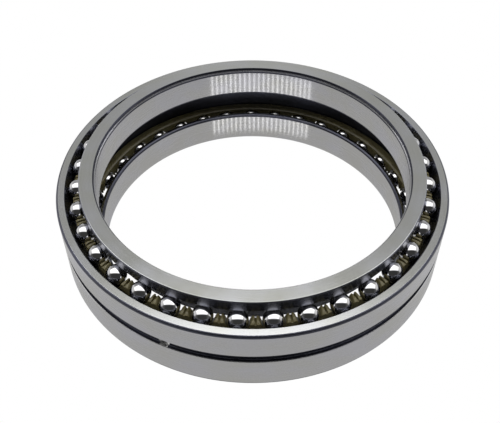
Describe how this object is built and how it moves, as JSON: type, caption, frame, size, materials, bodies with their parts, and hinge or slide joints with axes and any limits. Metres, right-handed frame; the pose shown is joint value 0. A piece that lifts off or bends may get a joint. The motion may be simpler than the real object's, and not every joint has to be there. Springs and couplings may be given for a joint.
{
  "type": "thrust ball bearing",
  "caption": "Thin-section double-direction thrust ball bearing: grooved outer ring, back-to-back inner rings standing proud, comb cages between the balls of two rows.",
  "frame": {"origin": "on the bearing's axis, in the outer ring's middle plane, which is also the middle of the whole bearing", "axes": "+Z along the bearing's axis, out of the side whose ball row shows; +X and +Y are any two directions across it"},
  "size_m": [0.276, 0.276, 0.073],
  "materials": {
    "ring_steel": "hardened bearing steel, fine ground, oiled",
    "ball_steel": "lapped to a mirror",
    "cage_polyamide": "moulded, slightly glossy with oil"
  },
  "bodies": {
    "outer_ring": {"outer_ring": "ring_steel"},
    "upper_inner_ring": {"upper_inner_ring": "ring_steel"},
    "lower_inner_ring": {"lower_inner_ring": "ring_steel"},
    "upper_cage": {"upper_cage": "cage_polyamide"},
    "lower_cage": {"lower_cage": "cage_polyamide", "lower_ball_row": "ball_steel"},
    "upper_ball_01": {"upper_ball_01": "ball_steel"},
    "upper_ball_02": {"upper_ball_02": "ball_steel"},
    "upper_ball_03": {"upper_ball_03": "ball_steel"},
    "upper_ball_04": {"upper_ball_04": "ball_steel"},
    "upper_ball_05": {"upper_ball_05": "ball_steel"},
    "upper_ball_06": {"upper_ball_06": "ball_steel"},
    "upper_ball_07": {"upper_ball_07": "ball_steel"},
    "upper_ball_08": {"upper_ball_08": "ball_steel"},
    "upper_ball_09": {"upper_ball_09": "ball_steel"},
    "upper_ball_10": {"upper_ball_10": "ball_steel"},
    "upper_ball_11": {"upper_ball_11": "ball_steel"},
    "upper_ball_12": {"upper_ball_12": "ball_steel"},
    "upper_ball_13": {"upper_ball_13": "ball_steel"},
    "upper_ball_14": {"upper_ball_14": "ball_steel"},
    "upper_ball_15": {"upper_ball_15": "ball_steel"},
    "upper_ball_16": {"upper_ball_16": "ball_steel"},
    "upper_ball_17": {"upper_ball_17": "ball_steel"},
    "upper_ball_18": {"upper_ball_18": "ball_steel"},
    "upper_ball_19": {"upper_ball_19": "ball_steel"},
    "upper_ball_20": {"upper_ball_20": "ball_steel"},
    "upper_ball_21": {"upper_ball_21": "ball_steel"},
    "upper_ball_22": {"upper_ball_22": "ball_steel"},
    "upper_ball_23": {"upper_ball_23": "ball_steel"},
    "upper_ball_24": {"upper_ball_24": "ball_steel"},
    "upper_ball_25": {"upper_ball_25": "ball_steel"},
    "upper_ball_26": {"upper_ball_26": "ball_steel"},
    "upper_ball_27": {"upper_ball_27": "ball_steel"},
    "upper_ball_28": {"upper_ball_28": "ball_steel"},
    "upper_ball_29": {"upper_ball_29": "ball_steel"},
    "upper_ball_30": {"upper_ball_30": "ball_steel"},
    "upper_ball_31": {"upper_ball_31": "ball_steel"},
    "upper_ball_32": {"upper_ball_32": "ball_steel"},
    "upper_ball_33": {"upper_ball_33": "ball_steel"},
    "upper_ball_34": {"upper_ball_34": "ball_steel"},
    "upper_ball_35": {"upper_ball_35": "ball_steel"},
    "upper_ball_36": {"upper_ball_36": "ball_steel"}
  },
  "joints": [
    {"name": "upper_inner_ring_turn", "type": "hinge", "parent": "outer_ring", "child": "upper_inner_ring", "pos_m": [0, 0, 0.024], "axis": [0, 0, 1], "continuous": true},
    {"name": "lower_inner_ring_turn", "type": "hinge", "parent": "outer_ring", "child": "lower_inner_ring", "pos_m": [0, 0, -0.024], "axis": [0, 0, 1], "continuous": true},
    {"name": "upper_cage_orbit", "type": "hinge", "parent": "outer_ring", "child": "upper_cage", "pos_m": [0, 0, 0.022], "axis": [0, 0, 1], "continuous": true},
    {"name": "lower_cage_orbit", "type": "hinge", "parent": "outer_ring", "child": "lower_cage", "pos_m": [0, 0, -0.022], "axis": [0, 0, 1], "continuous": true},
    {"name": "upper_ball_01_spin", "type": "hinge", "parent": "upper_cage", "child": "upper_ball_01", "pos_m": [0.12272, 0.0129, 0.022], "axis": [0.7032, 0.0739, 0.7071], "continuous": true},
    {"name": "upper_ball_02_spin", "type": "hinge", "parent": "upper_cage", "child": "upper_ball_02", "pos_m": [0.11862, 0.03401, 0.022], "axis": [0.6797, 0.1949, 0.7071], "continuous": true},
    {"name": "upper_ball_03_spin", "type": "hinge", "parent": "upper_cage", "child": "upper_ball_03", "pos_m": [0.11091, 0.05409, 0.022], "axis": [0.6355, 0.31, 0.7071], "continuous": true},
    {"name": "upper_ball_04_spin", "type": "hinge", "parent": "upper_cage", "child": "upper_ball_04", "pos_m": [0.09983, 0.07253, 0.022], "axis": [0.5721, 0.4156, 0.7071], "continuous": true},
    {"name": "upper_ball_05_spin", "type": "hinge", "parent": "upper_cage", "child": "upper_ball_05", "pos_m": [0.08572, 0.08877, 0.022], "axis": [0.4912, 0.5086, 0.7071], "continuous": true},
    {"name": "upper_ball_06_spin", "type": "hinge", "parent": "upper_cage", "child": "upper_ball_06", "pos_m": [0.069, 0.1023, 0.022], "axis": [0.3954, 0.5862, 0.7071], "continuous": true},
    {"name": "upper_ball_07_spin", "type": "hinge", "parent": "upper_cage", "child": "upper_ball_07", "pos_m": [0.05019, 0.11273, 0.022], "axis": [0.2876, 0.646, 0.7071], "continuous": true},
    {"name": "upper_ball_08_spin", "type": "hinge", "parent": "upper_cage", "child": "upper_ball_08", "pos_m": [0.02985, 0.11973, 0.022], "axis": [0.1711, 0.6861, 0.7071], "continuous": true},
    {"name": "upper_ball_09_spin", "type": "hinge", "parent": "upper_cage", "child": "upper_ball_09", "pos_m": [0.00861, 0.1231, 0.022], "axis": [0.0493, 0.7054, 0.7071], "continuous": true},
    {"name": "upper_ball_10_spin", "type": "hinge", "parent": "upper_cage", "child": "upper_ball_10", "pos_m": [-0.0129, 0.12272, 0.022], "axis": [-0.0739, 0.7032, 0.7071], "continuous": true},
    {"name": "upper_ball_11_spin", "type": "hinge", "parent": "upper_cage", "child": "upper_ball_11", "pos_m": [-0.03401, 0.11862, 0.022], "axis": [-0.1949, 0.6797, 0.7071], "continuous": true},
    {"name": "upper_ball_12_spin", "type": "hinge", "parent": "upper_cage", "child": "upper_ball_12", "pos_m": [-0.05409, 0.11091, 0.022], "axis": [-0.31, 0.6355, 0.7071], "continuous": true},
    {"name": "upper_ball_13_spin", "type": "hinge", "parent": "upper_cage", "child": "upper_ball_13", "pos_m": [-0.07253, 0.09983, 0.022], "axis": [-0.4156, 0.5721, 0.7071], "continuous": true},
    {"name": "upper_ball_14_spin", "type": "hinge", "parent": "upper_cage", "child": "upper_ball_14", "pos_m": [-0.08877, 0.08572, 0.022], "axis": [-0.5086, 0.4912, 0.7071], "continuous": true},
    {"name": "upper_ball_15_spin", "type": "hinge", "parent": "upper_cage", "child": "upper_ball_15", "pos_m": [-0.1023, 0.069, 0.022], "axis": [-0.5862, 0.3954, 0.7071], "continuous": true},
    {"name": "upper_ball_16_spin", "type": "hinge", "parent": "upper_cage", "child": "upper_ball_16", "pos_m": [-0.11273, 0.05019, 0.022], "axis": [-0.646, 0.2876, 0.7071], "continuous": true},
    {"name": "upper_ball_17_spin", "type": "hinge", "parent": "upper_cage", "child": "upper_ball_17", "pos_m": [-0.11973, 0.02985, 0.022], "axis": [-0.6861, 0.1711, 0.7071], "continuous": true},
    {"name": "upper_ball_18_spin", "type": "hinge", "parent": "upper_cage", "child": "upper_ball_18", "pos_m": [-0.1231, 0.00861, 0.022], "axis": [-0.7054, 0.0493, 0.7071], "continuous": true},
    {"name": "upper_ball_19_spin", "type": "hinge", "parent": "upper_cage", "child": "upper_ball_19", "pos_m": [-0.12272, -0.0129, 0.022], "axis": [-0.7032, -0.0739, 0.7071], "continuous": true},
    {"name": "upper_ball_20_spin", "type": "hinge", "parent": "upper_cage", "child": "upper_ball_20", "pos_m": [-0.11862, -0.03401, 0.022], "axis": [-0.6797, -0.1949, 0.7071], "continuous": true},
    {"name": "upper_ball_21_spin", "type": "hinge", "parent": "upper_cage", "child": "upper_ball_21", "pos_m": [-0.11091, -0.05409, 0.022], "axis": [-0.6355, -0.31, 0.7071], "continuous": true},
    {"name": "upper_ball_22_spin", "type": "hinge", "parent": "upper_cage", "child": "upper_ball_22", "pos_m": [-0.09983, -0.07253, 0.022], "axis": [-0.5721, -0.4156, 0.7071], "continuous": true},
    {"name": "upper_ball_23_spin", "type": "hinge", "parent": "upper_cage", "child": "upper_ball_23", "pos_m": [-0.08572, -0.08877, 0.022], "axis": [-0.4912, -0.5086, 0.7071], "continuous": true},
    {"name": "upper_ball_24_spin", "type": "hinge", "parent": "upper_cage", "child": "upper_ball_24", "pos_m": [-0.069, -0.1023, 0.022], "axis": [-0.3954, -0.5862, 0.7071], "continuous": true},
    {"name": "upper_ball_25_spin", "type": "hinge", "parent": "upper_cage", "child": "upper_ball_25", "pos_m": [-0.05019, -0.11273, 0.022], "axis": [-0.2876, -0.646, 0.7071], "continuous": true},
    {"name": "upper_ball_26_spin", "type": "hinge", "parent": "upper_cage", "child": "upper_ball_26", "pos_m": [-0.02985, -0.11973, 0.022], "axis": [-0.1711, -0.6861, 0.7071], "continuous": true},
    {"name": "upper_ball_27_spin", "type": "hinge", "parent": "upper_cage", "child": "upper_ball_27", "pos_m": [-0.00861, -0.1231, 0.022], "axis": [-0.0493, -0.7054, 0.7071], "continuous": true},
    {"name": "upper_ball_28_spin", "type": "hinge", "parent": "upper_cage", "child": "upper_ball_28", "pos_m": [0.0129, -0.12272, 0.022], "axis": [0.0739, -0.7032, 0.7071], "continuous": true},
    {"name": "upper_ball_29_spin", "type": "hinge", "parent": "upper_cage", "child": "upper_ball_29", "pos_m": [0.03401, -0.11862, 0.022], "axis": [0.1949, -0.6797, 0.7071], "continuous": true},
    {"name": "upper_ball_30_spin", "type": "hinge", "parent": "upper_cage", "child": "upper_ball_30", "pos_m": [0.05409, -0.11091, 0.022], "axis": [0.31, -0.6355, 0.7071], "continuous": true},
    {"name": "upper_ball_31_spin", "type": "hinge", "parent": "upper_cage", "child": "upper_ball_31", "pos_m": [0.07253, -0.09983, 0.022], "axis": [0.4156, -0.5721, 0.7071], "continuous": true},
    {"name": "upper_ball_32_spin", "type": "hinge", "parent": "upper_cage", "child": "upper_ball_32", "pos_m": [0.08877, -0.08572, 0.022], "axis": [0.5086, -0.4912, 0.7071], "continuous": true},
    {"name": "upper_ball_33_spin", "type": "hinge", "parent": "upper_cage", "child": "upper_ball_33", "pos_m": [0.1023, -0.069, 0.022], "axis": [0.5862, -0.3954, 0.7071], "continuous": true},
    {"name": "upper_ball_34_spin", "type": "hinge", "parent": "upper_cage", "child": "upper_ball_34", "pos_m": [0.11273, -0.05019, 0.022], "axis": [0.646, -0.2876, 0.7071], "continuous": true},
    {"name": "upper_ball_35_spin", "type": "hinge", "parent": "upper_cage", "child": "upper_ball_35", "pos_m": [0.11973, -0.02985, 0.022], "axis": [0.6861, -0.1711, 0.7071], "continuous": true},
    {"name": "upper_ball_36_spin", "type": "hinge", "parent": "upper_cage", "child": "upper_ball_36", "pos_m": [0.1231, -0.00861, 0.022], "axis": [0.7054, -0.0493, 0.7071], "continuous": true}
  ],
  "couplings": [
    {"joint": "upper_cage_orbit", "follows": "upper_inner_ring_turn", "ratio": 0.48067},
    {"joint": "lower_cage_orbit", "follows": "lower_inner_ring_turn", "ratio": 0.48067},
    {"joint": "upper_ball_01_spin", "follows": "upper_inner_ring_turn", "ratio": -9.1311},
    {"joint": "upper_ball_02_spin", "follows": "upper_inner_ring_turn", "ratio": -9.1311},
    {"joint": "upper_ball_03_spin", "follows": "upper_inner_ring_turn", "ratio": -9.1311},
    {"joint": "upper_ball_04_spin", "follows": "upper_inner_ring_turn", "ratio": -9.1311},
    {"joint": "upper_ball_05_spin", "follows": "upper_inner_ring_turn", "ratio": -9.1311},
    {"joint": "upper_ball_06_spin", "follows": "upper_inner_ring_turn", "ratio": -9.1311},
    {"joint": "upper_ball_07_spin", "follows": "upper_inner_ring_turn", "ratio": -9.1311},
    {"joint": "upper_ball_08_spin", "follows": "upper_inner_ring_turn", "ratio": -9.1311},
    {"joint": "upper_ball_09_spin", "follows": "upper_inner_ring_turn", "ratio": -9.1311},
    {"joint": "upper_ball_10_spin", "follows": "upper_inner_ring_turn", "ratio": -9.1311},
    {"joint": "upper_ball_11_spin", "follows": "upper_inner_ring_turn", "ratio": -9.1311},
    {"joint": "upper_ball_12_spin", "follows": "upper_inner_ring_turn", "ratio": -9.1311},
    {"joint": "upper_ball_13_spin", "follows": "upper_inner_ring_turn", "ratio": -9.1311},
    {"joint": "upper_ball_14_spin", "follows": "upper_inner_ring_turn", "ratio": -9.1311},
    {"joint": "upper_ball_15_spin", "follows": "upper_inner_ring_turn", "ratio": -9.1311},
    {"joint": "upper_ball_16_spin", "follows": "upper_inner_ring_turn", "ratio": -9.1311},
    {"joint": "upper_ball_17_spin", "follows": "upper_inner_ring_turn", "ratio": -9.1311},
    {"joint": "upper_ball_18_spin", "follows": "upper_inner_ring_turn", "ratio": -9.1311},
    {"joint": "upper_ball_19_spin", "follows": "upper_inner_ring_turn", "ratio": -9.1311},
    {"joint": "upper_ball_20_spin", "follows": "upper_inner_ring_turn", "ratio": -9.1311},
    {"joint": "upper_ball_21_spin", "follows": "upper_inner_ring_turn", "ratio": -9.1311},
    {"joint": "upper_ball_22_spin", "follows": "upper_inner_ring_turn", "ratio": -9.1311},
    {"joint": "upper_ball_23_spin", "follows": "upper_inner_ring_turn", "ratio": -9.1311},
    {"joint": "upper_ball_24_spin", "follows": "upper_inner_ring_turn", "ratio": -9.1311},
    {"joint": "upper_ball_25_spin", "follows": "upper_inner_ring_turn", "ratio": -9.1311},
    {"joint": "upper_ball_26_spin", "follows": "upper_inner_ring_turn", "ratio": -9.1311},
    {"joint": "upper_ball_27_spin", "follows": "upper_inner_ring_turn", "ratio": -9.1311},
    {"joint": "upper_ball_28_spin", "follows": "upper_inner_ring_turn", "ratio": -9.1311},
    {"joint": "upper_ball_29_spin", "follows": "upper_inner_ring_turn", "ratio": -9.1311},
    {"joint": "upper_ball_30_spin", "follows": "upper_inner_ring_turn", "ratio": -9.1311},
    {"joint": "upper_ball_31_spin", "follows": "upper_inner_ring_turn", "ratio": -9.1311},
    {"joint": "upper_ball_32_spin", "follows": "upper_inner_ring_turn", "ratio": -9.1311},
    {"joint": "upper_ball_33_spin", "follows": "upper_inner_ring_turn", "ratio": -9.1311},
    {"joint": "upper_ball_34_spin", "follows": "upper_inner_ring_turn", "ratio": -9.1311},
    {"joint": "upper_ball_35_spin", "follows": "upper_inner_ring_turn", "ratio": -9.1311},
    {"joint": "upper_ball_36_spin", "follows": "upper_inner_ring_turn", "ratio": -9.1311}
  ]
}
